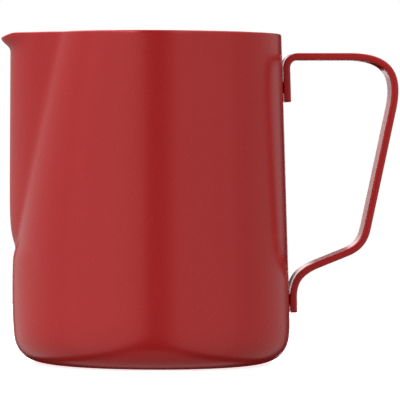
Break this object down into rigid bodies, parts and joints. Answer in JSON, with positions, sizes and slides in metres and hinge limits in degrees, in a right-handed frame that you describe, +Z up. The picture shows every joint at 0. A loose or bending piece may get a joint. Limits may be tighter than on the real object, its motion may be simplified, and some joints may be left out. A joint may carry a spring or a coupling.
{
  "type": "milk frothing pitcher",
  "caption": "Straight-sided steel jug with a pressed pouring spout and a bent strap handle, for steaming and pouring milk.",
  "frame": {"origin": "centre of the flat base, in the plane it stands on", "axes": "+Z up, the spout points to -X, the handle to +X, +Y is the user's left when the spout points away from them"},
  "size_m": [0.1326, 0.0922, 0.11],
  "materials": {
    "red_coat": "satin",
    "weld_steel": "matte"
  },
  "bodies": {
    "root": {"pitcher_body": "red_coat", "handle_strap": "red_coat", "upper_weld_left": "weld_steel", "upper_weld_right": "weld_steel", "lower_weld_left": "weld_steel", "lower_weld_right": "weld_steel"}
  },
  "joints": []
}
